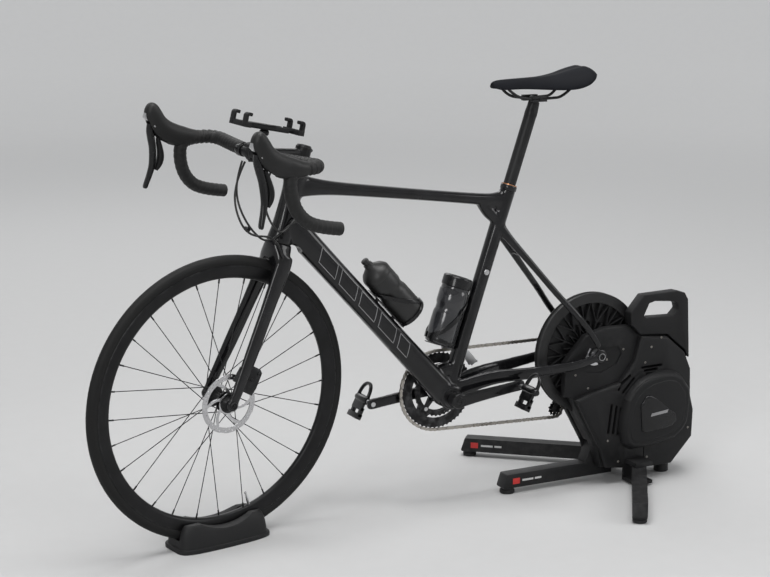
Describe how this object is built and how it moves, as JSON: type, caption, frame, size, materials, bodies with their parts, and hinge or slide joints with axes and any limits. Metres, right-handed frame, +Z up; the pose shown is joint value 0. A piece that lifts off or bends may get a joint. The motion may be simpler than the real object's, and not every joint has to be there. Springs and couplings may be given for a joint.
{
  "type": "bicycle on indoor trainer",
  "caption": "Black road bicycle with drop handlebar and bottles, its rear axle on a direct-drive indoor trainer and its front wheel on a riser block",
  "frame": {"origin": "centre of the footprint box, on the floor that the trainer's feet and the riser block stand on", "axes": "-X is forward, the way the bicycle faces; +Y is the bicycle's right, the drive side; +Z is up"},
  "size_m": [1.6438, 0.7076, 1.0754],
  "materials": {
    "carbon_black": "gloss black moulded carbon, clear coated",
    "anodised_black": "satin black anodised aluminium",
    "bare_aluminium": "brushed aluminium",
    "bright_steel": "bright steel",
    "chain_steel": "oiled grey steel",
    "black_steel": "satin black paint",
    "tyre_rubber": "matte black tyre rubber",
    "grip_rubber": "matte black grip rubber",
    "foot_rubber": "matte black moulded rubber",
    "hose_black": "satin black hose",
    "bar_wrap": "matte black wrapped tape",
    "saddle_cover": "matte dark grey synthetic cover",
    "shell_plastic": "matte black moulded plastic",
    "gloss_plastic": "glossy black moulded plastic",
    "bottle_plastic": "soft black bottle plastic",
    "canister_smoke": "smoked translucent plastic",
    "block_rubber": "matte black moulded plastic"
  },
  "bodies": {
    "frame_and_trainer": {"main_frame": "carbon_black", "chainstays": "carbon_black", "seatstays": "carbon_black", "headset_bearings": "bright_steel", "bottom_bracket_cups": "anodised_black", "rear_axle": "bare_aluminium", "bottle_cages": "gloss_plastic", "chain": "chain_steel", "front_derailleur": "bare_aluminium", "rear_derailleur": "anodised_black", "trainer_cover_left": "shell_plastic", "trainer_cover_right": "shell_plastic", "motor_cover": "shell_plastic", "trainer_chassis": "black_steel", "trainer_handle": "shell_plastic", "cover_screws": "bright_steel", "drive_belt": "hose_black", "centre_leg": "black_steel", "centre_feet": "foot_rubber"},
    "steering": {"fork": "carbon_black", "headset_spacers": "anodised_black", "stem": "anodised_black", "handlebar": "anodised_black", "bar_tape": "bar_wrap", "lever_hoods": "grip_rubber", "phone_holder": "shell_plastic", "front_caliper": "anodised_black", "front_axle": "anodised_black", "brake_hose_front": "hose_black", "control_hoses": "hose_black"},
    "riser_block": {"riser_block": "block_rubber"},
    "front_wheel": {"front_rim": "anodised_black", "front_tyre": "tyre_rubber", "front_hub": "anodised_black", "front_spokes": "black_steel", "front_rotor": "bright_steel"},
    "crank": {"crank_arm_left": "anodised_black", "crank_arm_right": "anodised_black", "chainrings": "anodised_black", "chainring_bolts": "anodised_black", "pedal_spindles": "bright_steel"},
    "pedal_left": {"pedal_left": "gloss_plastic"},
    "pedal_right": {"pedal_right": "gloss_plastic"},
    "brake_lever_left": {"brake_lever_left": "anodised_black"},
    "brake_lever_right": {"brake_lever_right": "anodised_black"},
    "shift_paddle_left": {"shift_paddle_left": "anodised_black"},
    "shift_paddle_right": {"shift_paddle_right": "anodised_black"},
    "trainer_drive": {"drive_pulley": "shell_plastic", "cassette": "bright_steel"},
    "flywheel": {"flywheel": "black_steel"},
    "jockey_upper": {"jockey_upper": "gloss_plastic"},
    "jockey_lower": {"jockey_lower": "gloss_plastic"},
    "leg_left": {"leg_left": "black_steel"},
    "leg_right": {"leg_right": "black_steel"},
    "bottle": {"bottle": "bottle_plastic"},
    "canister": {"canister": "canister_smoke"},
    "seatpost": {"seatpost": "carbon_black"},
    "saddle": {"saddle_pad": "saddle_cover", "saddle_rails": "black_steel"},
    "phone_jaw": {"phone_jaw": "shell_plastic"}
  },
  "joints": [
    {"name": "steering", "type": "hinge", "parent": "frame_and_trainer", "child": "steering", "pos_m": [-0.44255, 0, 0.33326], "axis": [0.2924, 0, 0.9563], "range_deg": [-30, 10], "deforming": ["control_hoses"]},
    {"name": "riser_turn", "type": "hinge", "parent": "frame_and_trainer", "child": "riser_block", "pos_m": [-0.54444, 0, 0], "axis": [0, 0, 1], "range_deg": [-28.8, 9.6]},
    {"name": "front_wheel_spin", "type": "hinge", "parent": "steering", "child": "front_wheel", "pos_m": [-0.48682, -0.00816, 0.34679], "axis": [-0.1661, 0.9848, 0.0508], "continuous": true},
    {"name": "crank_spin", "type": "hinge", "parent": "frame_and_trainer", "child": "crank", "pos_m": [0.1117, 0, 0.2805], "axis": [0, 1, 0], "continuous": true},
    {"name": "pedal_left_spin", "type": "hinge", "parent": "crank", "child": "pedal_left", "pos_m": [0.28269, 0, 0.29908], "axis": [0, 1, 0], "continuous": true},
    {"name": "pedal_right_spin", "type": "hinge", "parent": "crank", "child": "pedal_right", "pos_m": [-0.05929, 0, 0.26192], "axis": [0, 1, 0], "continuous": true},
    {"name": "brake_lever_left_pull", "type": "hinge", "parent": "steering", "child": "brake_lever_left", "pos_m": [-0.48999, -0.27279, 0.93927], "axis": [-0.1661, 0.9848, 0.0508], "range_deg": [-14, 0], "stiffness_Nm_per_rad": 1.2, "springref_deg": 2.86},
    {"name": "brake_lever_right_pull", "type": "hinge", "parent": "steering", "child": "brake_lever_right", "pos_m": [-0.56638, 0.18022, 0.96263], "axis": [-0.1661, 0.9848, 0.0508], "range_deg": [-14, 0], "stiffness_Nm_per_rad": 1.2, "springref_deg": 2.86},
    {"name": "shift_paddle_left_push", "type": "hinge", "parent": "brake_lever_left", "child": "shift_paddle_left", "pos_m": [-0.46755, -0.26613, 0.88345], "axis": [0.9861, 0.1661, 0.0042], "range_deg": [0, 9], "stiffness_Nm_per_rad": 0.4, "springref_deg": -2.86},
    {"name": "shift_paddle_right_push", "type": "hinge", "parent": "brake_lever_right", "child": "shift_paddle_right", "pos_m": [-0.54393, 0.18688, 0.9068], "axis": [0.9861, 0.1661, 0.0042], "range_deg": [-9, 0], "stiffness_Nm_per_rad": 0.4, "springref_deg": 2.86},
    {"name": "trainer_drive_spin", "type": "hinge", "parent": "frame_and_trainer", "child": "trainer_drive", "pos_m": [0.5175, 0, 0.347], "axis": [0, 1, 0], "continuous": true},
    {"name": "flywheel_spin", "type": "hinge", "parent": "frame_and_trainer", "child": "flywheel", "pos_m": [0.6825, 0, 0.19], "axis": [0, 1, 0], "continuous": true},
    {"name": "jockey_upper_spin", "type": "hinge", "parent": "frame_and_trainer", "child": "jockey_upper", "pos_m": [0.4975, 0, 0.251], "axis": [0, 1, 0], "continuous": true},
    {"name": "jockey_lower_spin", "type": "hinge", "parent": "frame_and_trainer", "child": "jockey_lower", "pos_m": [0.4665, 0, 0.184], "axis": [0, 1, 0], "continuous": true},
    {"name": "leg_left_fold", "type": "hinge", "parent": "frame_and_trainer", "child": "leg_left", "pos_m": [0.6305, -0.094, 0.03], "axis": [0, 0, 1], "range_deg": [-54, 0]},
    {"name": "leg_right_fold", "type": "hinge", "parent": "frame_and_trainer", "child": "leg_right", "pos_m": [0.6305, 0.094, 0.03], "axis": [0, 0, 1], "range_deg": [0, 38]},
    {"name": "bottle_lift", "type": "slide", "parent": "frame_and_trainer", "child": "bottle", "axis": [-0.6695, 0, 0.7428], "range_m": [0, 0.1]},
    {"name": "canister_lift", "type": "slide", "parent": "frame_and_trainer", "child": "canister", "axis": [0.3206, 0, 0.9472], "range_m": [0, 0.1]},
    {"name": "seatpost_height", "type": "slide", "parent": "frame_and_trainer", "child": "seatpost", "axis": [0.3206, 0, 0.9472], "range_m": [-0.06, 0.05]},
    {"name": "saddle_tilt", "type": "hinge", "parent": "seatpost", "child": "saddle", "pos_m": [0.35152, 0, 0.98901], "axis": [0, 1, 0], "range_deg": [-10, 10]},
    {"name": "phone_jaw_slide", "type": "slide", "parent": "steering", "child": "phone_jaw", "axis": [0.9637, 0.173, -0.2035], "range_m": [-0.02, 0.02]}
  ],
  "couplings": [
    {"joint": "riser_turn", "follows": "steering", "ratio": 0.9563},
    {"joint": "trainer_drive_spin", "follows": "crank_spin", "ratio": 3.8462},
    {"joint": "flywheel_spin", "follows": "crank_spin", "ratio": 31.624},
    {"joint": "jockey_upper_spin", "follows": "crank_spin", "ratio": -4.5455},
    {"joint": "jockey_lower_spin", "follows": "crank_spin", "ratio": 4.5455}
  ]
}
